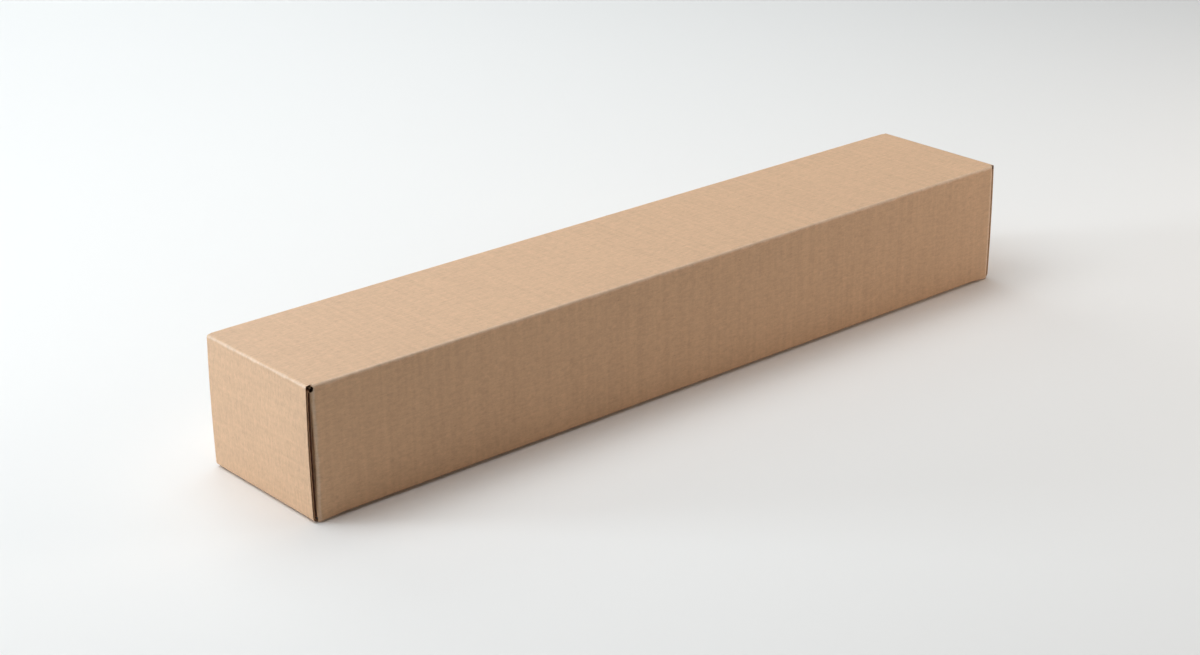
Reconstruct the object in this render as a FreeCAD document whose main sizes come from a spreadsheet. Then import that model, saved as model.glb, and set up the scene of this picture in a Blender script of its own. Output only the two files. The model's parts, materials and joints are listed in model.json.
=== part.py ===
"""Long corrugated-board box with tucked ends: one folded sleeve and the two end flaps that swing on it.

Frame: origin at the middle of the underside, +X along the length, +Y to the back, +Z up. The near end is
at -X. "In" means the distance inward from the end of the box, along its length. All sizes are millimetres.
"""
import FreeCAD, Part
import math
import os

import Sketcher

# Driving sizes. The alias is the name that every expression below uses.
SIZES = {
    "box_length": (620.0, "end to end, over the bow of both end flaps"),
    "box_width": (112.0, "front face to back face"),
    "box_height": (90.0, "underside to top face"),
    "board": (3.0, "thickness of the single-wall board"),
    "inner_radius": (0.5, "inside radius of a creased fold"),
    "flap_bow": (0.6, "how far the middle of an end flap stands out from its top and bottom"),
    "flap_gap": (0.6, "air between the top of an end flap and the dust flaps behind it"),
    "side_recess": (2.25, "end flap's cut edges behind the front and back faces"),
    "hinge_gap": (0.2, "air between the sleeve and an end flap along their crease"),
    "foot_in": (7.4, "raw end of the bottom panel, in from the end of the box"),
    "flap_lift": (0.4, "lowest point of an end flap's fold above the underside"),
    "tuck_angle": (20.0, "rise of the tuck flap over the bottom panel, in degrees"),
    "tuck_gap": (0.35, "air between the tuck flap and the crushed end of the bottom panel"),
    "tuck_reach": (22.0, "tip of the tuck flap, in from the end of the box"),
    "tuck_side_gap": (0.8, "tuck flap's side edge to the glue lap"),
    "tuck_corner": (12.0, "rounding of the tuck flap's corners"),
    "dust_length": (42.0, "dust flap's tip behind the face it is folded from"),
    "dust_corner": (6.0, "rounding of a dust flap's corners"),
    "dust_taper": (6.0, "how far a dust flap narrows at each edge towards its tip"),
    "dust_foot": (3.6, "lower end of a dust flap's fold above the underside"),
    "dust_tuck_gap": (0.8, "air between the swinging tuck flap and the edge of a dust flap over it"),
    "slot_drop": (3.8, "depth of the corner slot below the top face"),
    "slot_reach": (0.7, "bottom of a corner slot, in from the dust flap's outer face"),
    "seam_lift": (0.8, "raw edge of the back panel above the underside"),
    "seam_top": (2.2, "top of the open groove under the glued seam"),
    "stub_rise": (1.0, "crease of the glue lap above the inside of the bottom panel"),
    "lap_depth": (30.0, "height of the glue lap above the inside of the bottom panel"),
    "lap_setback": (9.0, "root of the glue lap, in from the dust flap's outer face"),
    "lap_taper": (12.0, "how much shorter the glue lap's free edge is at each end"),
}

# Sizes that follow from the ones above.
DERIVED = {
    "outer_radius": "sizes.board + sizes.inner_radius",
    "half_length": "sizes.box_length / 2",
    "half_width": "sizes.box_width / 2",
    "dust_face": "sizes.flap_bow + sizes.board + sizes.flap_gap",
    "dust_end": "derived.half_length - derived.dust_face",
    "flap_half": "derived.half_width - sizes.side_recess",
    "tuck_half": "derived.half_width - 2 * sizes.board - sizes.tuck_side_gap",
    "crease_in": "sizes.flap_bow + derived.outer_radius",
    "hinge_in": "derived.crease_in - derived.outer_radius * sqrt(0.5)",
    "hinge_up": "sizes.box_height - derived.outer_radius * (1 - sqrt(0.5))",
    "fold_up": "sizes.flap_lift + derived.outer_radius",
    "bow_half": "(sizes.box_height - derived.outer_radius - derived.fold_up) / 2",
    "bow_radius": "(derived.bow_half ^ 2 + sizes.flap_bow ^ 2) / (2 * sizes.flap_bow)",
    "tuck_sine": "sin(sizes.tuck_angle * 1 deg)",
    "tuck_cosine": "cos(sizes.tuck_angle * 1 deg)",
    "tuck_slope": "derived.tuck_sine / derived.tuck_cosine",
    "root_in": "derived.crease_in + derived.outer_radius * derived.tuck_sine",
    "root_up": "derived.fold_up - derived.outer_radius * derived.tuck_cosine",
    "tip_up": "derived.root_up + (sizes.tuck_reach - derived.root_in) * derived.tuck_slope",
    "back_in": "sizes.tuck_reach - sizes.board * derived.tuck_sine",
    "back_up": "derived.tip_up + sizes.board * derived.tuck_cosine",
    "swing_in": "derived.back_in - derived.hinge_in",
    "swing_down": "derived.hinge_up - derived.back_up",
    "swing_radius": "sqrt(derived.swing_in ^ 2 + derived.swing_down ^ 2)",
    "dust_back": "derived.dust_face + sizes.board - derived.hinge_in",
    "dust_reach": "sqrt(derived.swing_radius ^ 2 - derived.dust_back ^ 2)",
    "dust_low": "derived.hinge_up - derived.dust_reach + sizes.dust_tuck_gap",
    "foot_drop": "derived.root_up - sizes.tuck_gap / derived.tuck_cosine",
    "foot_edge": "derived.foot_drop + (sizes.foot_in - derived.root_in) * derived.tuck_slope",
    "crush_in": "derived.root_in + (sizes.board - derived.foot_drop) / derived.tuck_slope",
    "crease_line": "derived.half_width - derived.outer_radius",
    "dust_tip": "derived.half_width - sizes.dust_length",
    "seam_face": "derived.half_width - sizes.board",
    "lap_face": "derived.half_width - 2 * sizes.board",
    "seam_centre": "derived.seam_face - derived.outer_radius",
    "bead_rise": "derived.outer_radius - sizes.seam_top",
    "bead_face": "derived.seam_centre + sqrt(derived.outer_radius ^ 2 - derived.bead_rise ^ 2)",
    "stub_top": "sizes.board + sizes.inner_radius + sizes.stub_rise",
    "lap_end": "derived.dust_end - sizes.lap_setback",
}

CUT_MARGIN = 5.0    # how far a cutting outline runs past the board that it cuts
PANEL_LAP = 2.0     # how far a pad or a cut at a panel's edge reaches into that panel
START, END = 1, 2   # a curve's two ends, as a sketch numbers them
ORIGIN_AXIS = -1    # a sketch's own horizontal axis, whose start is the sketch's origin


def build_sheet(doc):
    """Make the spreadsheet of driving sizes, one row for each."""
    sheet = doc.addObject("Spreadsheet::Sheet", "sizes")
    for row, (alias, (value, note)) in enumerate(SIZES.items(), start=1):
        sheet.set(f"A{row}", alias)
        sheet.set(f"B{row}", str(value))
        sheet.set(f"C{row}", note)
        sheet.setAlias(f"B{row}", alias)
    doc.recompute()


def build_derived(doc):
    """Make the set of sizes that are worked out from the spreadsheet."""
    derived = doc.addObject("App::VarSet", "derived")
    for name, formula in DERIVED.items():
        derived.addProperty("App::PropertyFloat", name, "Base")
        derived.setExpression(name, formula)
        doc.recompute()


class Outline:
    """A closed outline in a sketch: corners placed by expressions, joined by lines or arcs."""

    def __init__(self, sketch):
        self.sketch = sketch
        self.doc = sketch.Document
        self.count = 0

    def value(self, formula):
        """Return the number that a formula of named sizes gives now."""
        probe = self.doc.getObject("probe")
        probe.setExpression("number", str(formula))
        self.doc.recompute()
        return probe.number

    def bind(self, index, label, formula):
        """Name a sketch constraint and tie its value to a formula."""
        self.sketch.renameConstraint(index, label)
        self.sketch.setExpression(f"Constraints.{label}", str(formula))

    def draw(self, corners, bends=None):
        """Draw one closed outline.

        corners is a list of (across, up) formulas. bends maps the number of a corner to
        (radius formula, turn) for an arc from that corner to the next: turn is 1 where the arc turns
        left on its way, and -1 where it turns right. Every other side is straight.
        """
        bends = bends or {}
        spots = [FreeCAD.Vector(self.value(across), self.value(up), 0) for across, up in corners]
        sides = []
        for number, start in enumerate(spots):
            stop = spots[(number + 1) % len(spots)]
            if number in bends:
                radius, turn = bends[number]
                curve = arc_between(start, stop, self.value(radius), turn)
            else:
                curve = Part.LineSegment(start, stop)
            sides.append(self.sketch.addGeometry(curve, False))
        entry = [START if bends.get(number, (0, 1))[1] > 0 else END for number in range(len(spots))]
        for number, side in enumerate(sides):
            following = (number + 1) % len(sides)
            leave = START + END - entry[number]
            joint = Sketcher.Constraint("Coincident", side, leave, sides[following], entry[following])
            self.sketch.addConstraint(joint)
        for number, side in enumerate(sides):
            across, up = corners[number]
            spot = spots[number]
            label = f"o{self.count}c{number}"
            rule = Sketcher.Constraint("DistanceX", ORIGIN_AXIS, START, side, entry[number], spot.x)
            self.bind(self.sketch.addConstraint(rule), f"{label}across", across)
            rule = Sketcher.Constraint("DistanceY", ORIGIN_AXIS, START, side, entry[number], spot.y)
            self.bind(self.sketch.addConstraint(rule), f"{label}up", up)
            if number in bends:
                radius = bends[number][0]
                rule = Sketcher.Constraint("Radius", side, self.value(radius))
                self.bind(self.sketch.addConstraint(rule), f"{label}bend", radius)
        self.count += 1


def arc_between(start, stop, radius, turn):
    """Return the short arc from start to stop, turning left where turn is 1 and right where it is -1."""
    middle = (start + stop) * 0.5
    chord = stop - start
    side = FreeCAD.Vector(-chord.y, chord.x, 0).normalize()
    offset = math.sqrt(max(radius ** 2 - (chord.Length / 2) ** 2, 0.0))
    centre = middle + side * offset * turn
    first, last = (start, stop) if turn > 0 else (stop, start)
    low = math.atan2(first.y - centre.y, first.x - centre.x)
    high = math.atan2(last.y - centre.y, last.x - centre.x)
    return Part.ArcOfCircle(Part.Circle(centre, FreeCAD.Vector(0, 0, 1), radius), low, high)


def add_body(doc, name):
    """Add an empty body whose label names its file."""
    body = doc.addObject("PartDesign::Body", name)
    body.Label = name
    return body


def add_sketch(body, name, role, offset=None):
    """Add a sketch on one of the body's origin planes, moved along that plane's normal by a formula."""
    plane = next(feature for feature in body.Origin.OriginFeatures if feature.Role == role)
    sketch = body.newObject("Sketcher::SketchObject", name)
    sketch.AttachmentSupport = [(plane, "")]
    sketch.MapMode = "FlatFace"
    if offset is not None:
        sketch.setExpression("AttachmentOffset.Base.z", str(offset))
    body.Document.recompute()
    return sketch


def pad(body, name, sketch, length, side="One side", reverse=False):
    """Thicken a sketch into board and check that it adds volume."""
    before = body.Shape.Volume if body.Tip else 0.0
    feature = body.newObject("PartDesign::Pad", name)
    feature.Profile = sketch
    feature.Type = "Length"
    feature.SideType = side
    feature.Reversed = reverse
    feature.setExpression("Length", str(length))
    feature.Refine = True
    body.Document.recompute()
    if body.Shape.Volume <= before:
        raise RuntimeError(f"{name} adds nothing")


def pocket(body, name, sketch, length, side="One side", reverse=False):
    """Cut a sketch out of the board and check that it removes volume."""
    before = body.Shape.Volume
    feature = body.newObject("PartDesign::Pocket", name)
    feature.Profile = sketch
    feature.Type = "Length"
    feature.SideType = side
    feature.Reversed = reverse
    feature.setExpression("Length", str(length))
    feature.Refine = True
    body.Document.recompute()
    if body.Shape.Volume >= before:
        raise RuntimeError(f"{name} cuts nothing")


def from_end(end, distance):
    """Return the place along the length of something a given distance in from one end (-1 near, 1 far)."""
    return f"{end} * (derived.half_length - ({distance}))"


def build_girth(body):
    """The four long panels round the box, with the seam at the lower back corner."""
    sketch = add_sketch(body, "girth_outline", "YZ_Plane")
    front, back = "-derived.half_width", "derived.half_width"
    top, radius = "sizes.box_height", "derived.outer_radius"
    outside = [
        (f"{front} + {radius}", "0"),
        ("derived.seam_centre", "0"),
        ("derived.bead_face", "sizes.seam_top"),
        ("derived.seam_face", "sizes.seam_top"),
        ("derived.seam_face", "sizes.seam_lift"),
        (back, "sizes.seam_lift"),
        (back, f"{top} - {radius}"),
        (f"{back} - {radius}", top),
        (f"{front} + {radius}", top),
        (front, f"{top} - {radius}"),
        (front, radius),
    ]
    sketch_outline = Outline(sketch)
    sketch_outline.draw(outside, {number: (radius, 1) for number in (1, 6, 8, 10)})
    board, small = "sizes.board", "sizes.inner_radius"
    inside = [
        (f"{front} + {radius}", board),
        (f"derived.lap_face - {small}", board),
        ("derived.lap_face", f"{board} + {small}"),
        ("derived.lap_face", "derived.stub_top"),
        ("derived.seam_face", "derived.stub_top"),
        ("derived.seam_face", f"{top} - {radius}"),
        (f"{back} - {radius}", f"{top} - {board}"),
        (f"{front} + {radius}", f"{top} - {board}"),
        (f"{front} + {board}", f"{top} - {radius}"),
        (f"{front} + {board}", radius),
    ]
    sketch_outline.draw(inside, {number: (small, 1) for number in (1, 5, 7, 9)})
    pad(body, "girth", sketch, "2 * derived.dust_end", side="Symmetric")


def build_glue_lap(body):
    """The lap on the bottom panel's back edge, glued to the inside of the back panel."""
    sketch = add_sketch(body, "lap_outline", "XZ_Plane", offset="-derived.seam_face")
    root, edge = "sizes.board + sizes.inner_radius", "sizes.board + sizes.lap_depth"
    corners = [
        ("-derived.lap_end", root),
        ("derived.lap_end", root),
        ("derived.lap_end - sizes.lap_taper", edge),
        ("-derived.lap_end + sizes.lap_taper", edge),
    ]
    Outline(sketch).draw(corners)
    pad(body, "glue_lap", sketch, "sizes.board")


def build_dust_flaps(body, end, name):
    """The two small flaps folded in from the front and back panels at one end."""
    sketch = add_sketch(body, f"{name}_dust_outline", "YZ_Plane", offset=f"{end} * derived.dust_end")
    sketch_outline = Outline(sketch)
    shoulder = "(derived.half_width - sizes.board)"
    beside_tuck = "(derived.tuck_half + sizes.tuck_side_gap / 2)"
    high = "sizes.box_height - sizes.slot_drop"
    low, foot = "derived.dust_low", "sizes.dust_foot"
    corner, taper, tip = "sizes.dust_corner", "sizes.dust_taper", "derived.dust_tip"
    for face in (-1, 1):
        corners = [
            (f"{face} * derived.half_width", foot),
            (f"{face} * {shoulder}", foot),
            (f"{face} * {beside_tuck}", low),
            (f"{face} * ({tip} + {corner})", f"{low} + {taper}"),
            (f"{face} * {tip}", f"{low} + {taper} + {corner}"),
            (f"{face} * {tip}", f"{high} - {taper} - {corner}"),
            (f"{face} * ({tip} + {corner})", f"{high} - {taper}"),
            (f"{face} * {shoulder}", high),
            (f"{face} * derived.half_width", high),
        ]
        sketch_outline.draw(corners, {3: (corner, -face), 5: (corner, -face)})
    pad(body, f"{name}_dust_flaps", sketch, "sizes.board", reverse=end > 0)


def round_dust_folds(body):
    """Round the four upright corners where the front and back panels fold into the dust flaps."""
    sketch = add_sketch(body, "dust_fold_outline", "XY_Plane")
    sketch_outline = Outline(sketch)
    radius = "derived.outer_radius"
    for end in (-1, 1):
        for face in (-1, 1):
            past_end = f"{end} * (derived.dust_end + {CUT_MARGIN})"
            past_face = f"{face} * (derived.half_width + {CUT_MARGIN})"
            fold_start = f"{end} * (derived.dust_end - {radius})"
            fold_stop = f"{face} * (derived.half_width - {radius})"
            corners = [
                (past_end, past_face),
                (fold_start, past_face),
                (fold_start, f"{face} * derived.half_width"),
                (f"{end} * derived.dust_end", fold_stop),
                (past_end, fold_stop),
            ]
            sketch_outline.draw(corners, {2: (radius, -end * face)})
    pocket(body, "dust_folds", sketch, "4 * sizes.box_height", side="Symmetric")


def cut_corner_slots(body, end, name):
    """The slots that part the dust flaps from the panels above and below them at one end."""
    sketch = add_sketch(body, f"{name}_slot_outline", "YZ_Plane", offset=f"{end} * derived.dust_end")
    sketch_outline = Outline(sketch)
    low, high = "sizes.box_height - sizes.slot_drop", f"sizes.box_height + {CUT_MARGIN}"
    for face in (-1, 1):
        inner, outer = f"{face} * derived.flap_half", f"{face} * (derived.half_width + {CUT_MARGIN})"
        sketch_outline.draw([(inner, low), (outer, low), (outer, high), (inner, high)])
    front = (f"-derived.crease_line + {PANEL_LAP}", f"-derived.half_width - {CUT_MARGIN}")
    back = (f"derived.seam_centre - {PANEL_LAP}", f"derived.half_width + {CUT_MARGIN}")
    low, high = f"-{CUT_MARGIN}", "sizes.dust_foot"
    for inner, outer in (front, back):
        sketch_outline.draw([(inner, low), (outer, low), (outer, high), (inner, high)])
    pocket(body, f"{name}_slots", sketch, "sizes.slot_reach", reverse=end < 0)


def build_top_tongues(body):
    """The top panel's two ends, each rounding over to the mitre where an end flap's crease lies."""
    sketch = add_sketch(body, "top_tongue_outline", "XZ_Plane")
    sketch_outline = Outline(sketch)
    top, radius, small = "sizes.box_height", "derived.outer_radius", "sizes.inner_radius"
    crease = "derived.crease_in"
    for end in (-1, 1):
        corners = [
            (from_end(end, "derived.hinge_in"), "derived.hinge_up"),
            (from_end(end, crease), top),
            (from_end(end, f"derived.dust_face + {PANEL_LAP}"), top),
            (from_end(end, f"derived.dust_face + {PANEL_LAP}"), f"{top} - sizes.board"),
            (from_end(end, crease), f"{top} - sizes.board"),
            (from_end(end, f"{crease} - {small} * sqrt(0.5)"), f"{top} - {radius} + {small} * sqrt(0.5)"),
        ]
        sketch_outline.draw(corners, {0: (radius, end), 4: (small, -end)})
    pad(body, "top_tongues", sketch, "2 * derived.flap_half", side="Symmetric")


def cut_feet(body):
    """The bottom panel's two raw ends, set back behind the end flaps' folds and crushed under the tucks."""
    sketch = add_sketch(body, "foot_outline", "XZ_Plane", offset="derived.crease_line")
    sketch_outline = Outline(sketch)
    clear = "sizes.board + sizes.inner_radius"
    for end in (-1, 1):
        outside = from_end(end, f"-{CUT_MARGIN}")
        raw, whole = from_end(end, "sizes.foot_in"), from_end(end, "derived.crush_in")
        corners = [
            (outside, f"-{CUT_MARGIN}"),
            (raw, f"-{CUT_MARGIN}"),
            (raw, "derived.foot_edge"),
            (whole, "sizes.board"),
            (whole, clear),
            (outside, clear),
        ]
        sketch_outline.draw(corners)
    pocket(body, "feet", sketch, "derived.crease_line + derived.seam_centre")


def build_sleeve(doc):
    """The folded and glued sheet: four panels, the glue lap, four dust flaps and the slotted ends."""
    body = add_body(doc, "box_sleeve")
    build_girth(body)
    build_glue_lap(body)
    for end, name in ((-1, "near"), (1, "far")):
        build_dust_flaps(body, end, name)
    round_dust_folds(body)
    for end, name in ((-1, "near"), (1, "far")):
        cut_corner_slots(body, end, name)
    build_top_tongues(body)
    cut_feet(body)
    return body


def build_end_flap(doc, name, turn):
    """An end flap with its tuck flap, drawn for an end at the body's own origin and put at its end.

    The flap's lower fold drops in front of the bottom panel's raw end, and the tuck flap rises from it
    over that end. turn is the body's turn about the upright axis: 0 at the near end, 180 at the far.
    """
    body = add_body(doc, name)
    sketch = add_sketch(body, f"{name}_profile", "XZ_Plane")
    top, board, gap = "sizes.box_height", "sizes.board", "sizes.hinge_gap"
    radius, small = "derived.outer_radius", "sizes.inner_radius"
    crease, bow = "derived.crease_in", "sizes.flap_bow"
    sine, cosine = "derived.tuck_sine", "derived.tuck_cosine"
    corners = [
        (f"{crease} - sqrt(0.5) * (sqrt({radius} ^ 2 - {gap} ^ 2) + {gap})",
         f"{top} - {radius} + sqrt(0.5) * (sqrt({radius} ^ 2 - {gap} ^ 2) - {gap})"),
        (bow, f"{top} - {radius}"),
        (bow, "derived.fold_up"),
        ("derived.root_in", "derived.root_up"),
        ("sizes.tuck_reach", "derived.tip_up"),
        ("derived.back_in", "derived.back_up"),
        (f"{crease} + {small} * {sine}", f"derived.fold_up - {small} * {cosine}"),
        (f"{bow} + {board}", "derived.fold_up"),
        (f"{bow} + {board}", f"{top} - {radius}"),
        (f"{crease} - sqrt(0.5) * (sqrt({small} ^ 2 - {gap} ^ 2) + {gap})",
         f"{top} - {radius} + sqrt(0.5) * (sqrt({small} ^ 2 - {gap} ^ 2) - {gap})"),
    ]
    bends = {
        0: (radius, 1),
        1: ("derived.bow_radius", 1),
        2: (radius, 1),
        6: (small, -1),
        7: ("derived.bow_radius", -1),
        8: (small, -1),
    }
    Outline(sketch).draw(corners, bends)
    pad(body, f"{name}_board", sketch, "2 * derived.flap_half", side="Symmetric")
    trim_tuck(body, name)
    body.setExpression("Placement.Base.x", f"{'-' if turn == 0 else ''}derived.half_length")
    body.Placement.Rotation = FreeCAD.Rotation(FreeCAD.Vector(0, 0, 1), turn)
    return body


def trim_tuck(body, name):
    """Narrow the tuck flap behind its fold, and round its two corners."""
    sketch = add_sketch(body, f"{name}_tuck_trim", "XY_Plane")
    sketch_outline = Outline(sketch)
    shoulder, tip = "derived.crease_in", "sizes.tuck_reach"
    corner, half = "sizes.tuck_corner", "derived.tuck_half"
    for face in (-1, 1):
        corners = [
            (shoulder, f"{face} * {half}"),
            (f"{tip} - {corner}", f"{face} * {half}"),
            (tip, f"{face} * ({half} - {corner})"),
            (f"{tip} + {CUT_MARGIN}", f"{face} * ({half} - {corner})"),
            (f"{tip} + {CUT_MARGIN}", f"{face} * derived.half_width"),
            (shoulder, f"{face} * derived.half_width"),
        ]
        sketch_outline.draw(corners, {1: (corner, -face)})
    pocket(body, f"{name}_tuck_sides", sketch, "sizes.box_height / 2", reverse=True)


def check(doc, bodies):
    """Stop if any object of the document failed or any sub-part is not one valid solid."""
    for item in doc.Objects:
        if "Invalid" in item.State or "Error" in item.State:
            raise RuntimeError(f"{item.Name} failed: {item.State}")
    for body in bodies:
        shape = body.Shape
        if shape.isNull() or not shape.isValid() or len(shape.Solids) != 1:
            raise RuntimeError(f"{body.Label} is not one valid solid")


def main():
    """Build the document, check it and write one STEP file for each sub-part."""
    doc = FreeCAD.newDocument("long_box")
    build_sheet(doc)
    build_derived(doc)
    probe = doc.addObject("App::VarSet", "probe")
    probe.addProperty("App::PropertyFloat", "number", "Base")
    bodies = [
        build_sleeve(doc),
        build_end_flap(doc, "near_end_flap", 0),
        build_end_flap(doc, "far_end_flap", 180),
    ]
    doc.removeObject("probe")
    doc.recompute()
    check(doc, bodies)
    os.makedirs("parts", exist_ok=True)
    for body in bodies:
        body.Shape.exportStep(f"parts/{body.Label}.step")
        box = body.Shape.BoundBox
        print(f"{body.Label}: {body.Shape.Volume:.1f} mm3, x {box.XMin:.2f} to {box.XMax:.2f}, "
              f"y {box.YMin:.2f} to {box.YMax:.2f}, z {box.ZMin:.2f} to {box.ZMax:.2f}")


main()
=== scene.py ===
"""Looks of a long corrugated-board box with tucked ends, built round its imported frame.

A folded sleeve and an end flap at each end are shown as the board that they are: a light liner on both
sides, a fluted medium between them that shows at the cut edges, and a bent crease that carries each flap.
Sizes are in metres. The box lies along X, with its near end at -X and its front face at -Y. An inset is a
distance in from the end of the box.
"""

import json
import logging
import math
from dataclasses import dataclass, field
from enum import Enum
from typing import Callable, Iterable, Sequence

import bmesh
import bpy
from mathutils import Matrix, Vector

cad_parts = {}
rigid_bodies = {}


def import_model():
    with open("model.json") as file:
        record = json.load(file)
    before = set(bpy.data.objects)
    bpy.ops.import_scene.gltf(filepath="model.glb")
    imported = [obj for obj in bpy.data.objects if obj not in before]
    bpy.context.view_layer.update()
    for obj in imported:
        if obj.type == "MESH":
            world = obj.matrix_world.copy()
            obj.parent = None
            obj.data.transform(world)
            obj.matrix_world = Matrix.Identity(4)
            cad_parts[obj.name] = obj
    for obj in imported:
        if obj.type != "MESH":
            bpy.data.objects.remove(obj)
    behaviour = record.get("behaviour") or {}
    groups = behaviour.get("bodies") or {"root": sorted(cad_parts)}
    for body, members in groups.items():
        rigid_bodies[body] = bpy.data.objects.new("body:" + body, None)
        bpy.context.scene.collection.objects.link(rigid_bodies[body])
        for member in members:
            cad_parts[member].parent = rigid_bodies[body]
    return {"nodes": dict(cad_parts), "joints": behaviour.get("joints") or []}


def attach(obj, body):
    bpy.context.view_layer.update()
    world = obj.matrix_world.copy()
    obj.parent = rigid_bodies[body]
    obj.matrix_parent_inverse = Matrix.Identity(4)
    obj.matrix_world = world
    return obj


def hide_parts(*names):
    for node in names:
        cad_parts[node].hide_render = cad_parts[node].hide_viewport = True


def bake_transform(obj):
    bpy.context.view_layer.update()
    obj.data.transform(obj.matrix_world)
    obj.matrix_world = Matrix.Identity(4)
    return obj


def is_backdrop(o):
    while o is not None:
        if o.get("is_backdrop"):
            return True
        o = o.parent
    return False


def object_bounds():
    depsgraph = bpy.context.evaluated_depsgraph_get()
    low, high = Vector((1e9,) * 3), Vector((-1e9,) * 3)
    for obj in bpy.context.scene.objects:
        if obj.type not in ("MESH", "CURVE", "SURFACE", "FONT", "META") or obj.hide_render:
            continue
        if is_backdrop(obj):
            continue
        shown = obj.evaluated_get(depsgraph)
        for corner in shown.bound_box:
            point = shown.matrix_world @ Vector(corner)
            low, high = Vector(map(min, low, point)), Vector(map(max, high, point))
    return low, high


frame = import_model()

Material = bpy.types.Material
Mesh = bpy.types.Mesh
NodeTree = bpy.types.NodeTree
Object = bpy.types.Object
Pairs = list[tuple[float, float]]
Triple = tuple[float, float, float]
Unroll = Callable[[Vector], Vector]

MM = 0.001
FLAP_HALF = 53.75 * MM
CLOSE = 0.02 * MM
SAME_PLACE = 0.002 * MM
ON_PLANE = 0.0001 * MM
FULL_TURN = 2 * math.pi
log = logging.getLogger("long_box")


# ---- Choices ----
class End(Enum):
    """One end of the box. The value is the sign of X there."""

    NEAR = -1
    FAR = 1

    @property
    def body(self) -> str:
        """Name of the body that this end's flap rides on."""
        return f"{self.name.lower()}_flap"

    @property
    def node(self) -> str:
        """Name of this end's flap in the frame."""
        return f"{self.name.lower()}_end_flap"


class Face(Enum):
    """One long upright face of the box. The value is the sign of Y there."""

    FRONT = -1
    BACK = 1


class Cut(Enum):
    """How a cut edge runs to the flutes, which says whether it shows them as waves or as one line."""

    ACROSS = "across"
    ALONG = "along"


# ---- Sizes ----
@dataclass(frozen=True)
class Board:
    """Single-wall corrugated board, as it shows at a cut edge and at a fold."""

    thickness: float = 3.0 * MM
    liner: float = 0.22 * MM
    medium: float = 0.42 * MM
    pitch: float = 6.5 * MM
    recess: float = 9.0 * MM
    overcut: float = 1.0 * MM
    fold_radius: float = 3.5 * MM
    flap_bow: float = 0.6 * MM

    @property
    def hollow(self) -> float:
        """Half the distance between the two liners."""
        return self.thickness / 2 - self.liner

    @property
    def crest(self) -> float:
        """Half the height of the medium's wave, to the middle of its paper."""
        return self.hollow - self.medium / 2

    @property
    def middle_radius(self) -> float:
        """Radius of a fold at the middle of the board."""
        return self.fold_radius - self.thickness / 2

    @property
    def inner_radius(self) -> float:
        """Radius of the inside of a fold."""
        return self.fold_radius - self.thickness


@dataclass(frozen=True)
class BoxSize:
    """Overall sizes of the box, and where its folds start and its end flaps swing, all from the frame."""

    half_length: float
    half_width: float
    height: float
    crease_in: float
    fold_side: float
    fold_top: float

    @classmethod
    def from_frame(cls, board: Board) -> "BoxSize":
        """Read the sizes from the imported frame, for a box folded from this board.

        Args:
            board: The board that the box is made of.

        Returns:
            The sizes.
        """
        low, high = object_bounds()
        hinge = Vector(frame["joints"][0]["pos_m"])
        centre_x = abs(hinge.x) - board.fold_radius * math.sqrt(0.5)
        half_length = centre_x + board.fold_radius + board.flap_bow
        half_width = (high.y - low.y) / 2
        return cls(half_length, half_width, high.z, half_length - centre_x, half_width - board.fold_radius,
                   high.z - board.fold_radius)

    def at(self, end: End, inset: float, y: float, up: float) -> Vector:
        """Point at a distance in from an end, at a depth and a height."""
        return Vector((end.value * (self.half_length - inset), y, up))


@dataclass(frozen=True)
class CutEdge:
    """A raw edge of the board: a line along the middle of its thickness, with directions at each point.

    Crushed is the share of the medium's wave that is left at the edge, and lean is how far the medium is
    pushed along the thickness there. Opening is the share of the space between the liners that is open.
    """

    name: str
    cut: Cut
    points: Sequence[Vector]
    across: Sequence[Vector]
    inward: Sequence[Vector]
    crushed: float = 0.5
    lean: Sequence[float] = ()
    opening: float = 1.0

    @classmethod
    def curved(cls, name: str, cut: Cut, points: Sequence[Vector], inward: Vector,
               **state: object) -> "CutEdge":
        """Make a cut edge of bent board, whose thickness direction turns along the edge.

        Args:
            name: Name of the edge.
            cut: How the edge runs to the flutes.
            points: Places along the edge.
            inward: Direction from the edge into the board.
            **state: What is unusual about the edge.

        Returns:
            The edge.
        """
        line = [points[0], *points, points[-1]]
        across = [(after - before).cross(inward).normalized() for before, after in zip(line, line[2:])]
        return cls(name, cut, points, across, [inward] * len(points), **state)

    def channel(self, board: Board) -> Mesh:
        """Return the closed mesh that hollows out the board between its liners, a little past the edge.

        Args:
            board: The board that the box is made of.

        Returns:
            The closed mesh, for cutting out of the board.
        """
        rings = []
        for point, across, inward in zip(self.points, self.across, self.inward):
            outer, inner = point - inward * board.overcut, point + inward * board.recess
            step = across * board.hollow * self.opening
            rings.append([outer - step, inner - step, inner + step, outer + step])
        return tube(rings, f"{self.name}_channel")


@dataclass(frozen=True)
class FlatBoard:
    """The middle plane of a flat part of the board.

    Place turns a pair of distances in the plane into a point, across is the direction through the board,
    and inside is a pair well away from every edge.
    """

    name: str
    place: Callable[[float, float], Vector]
    across: Vector
    inside: tuple[float, float]

    def edge(self, label: str, cut: Cut, path: Pairs) -> CutEdge:
        """Make the cut edge that runs along a path in the plane.

        Args:
            label: What the edge is called on this part.
            cut: How the edge runs to the flutes.
            path: Pairs of distances along the edge.

        Returns:
            The edge, with its inward direction square to it at each point.
        """
        points, inward = [self.place(*pair) for pair in path], []
        steps = ((after - point).normalized() for point, after in zip(points, points[1:]))
        ways = [Vector(), *steps, Vector()]
        for number, point in enumerate(points):
            along = (ways[number] + ways[number + 1]).normalized()
            square = self.across.cross(along).normalized()
            side = 1.0 if square.dot(self.place(*self.inside) - point) > 0 else -1.0
            inward.append(square * side / max(ways[number].dot(along) if number else 1.0, 0.5))
        return CutEdge(f"{self.name}_{label}", cut, points, [self.across] * len(points), inward)


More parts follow.
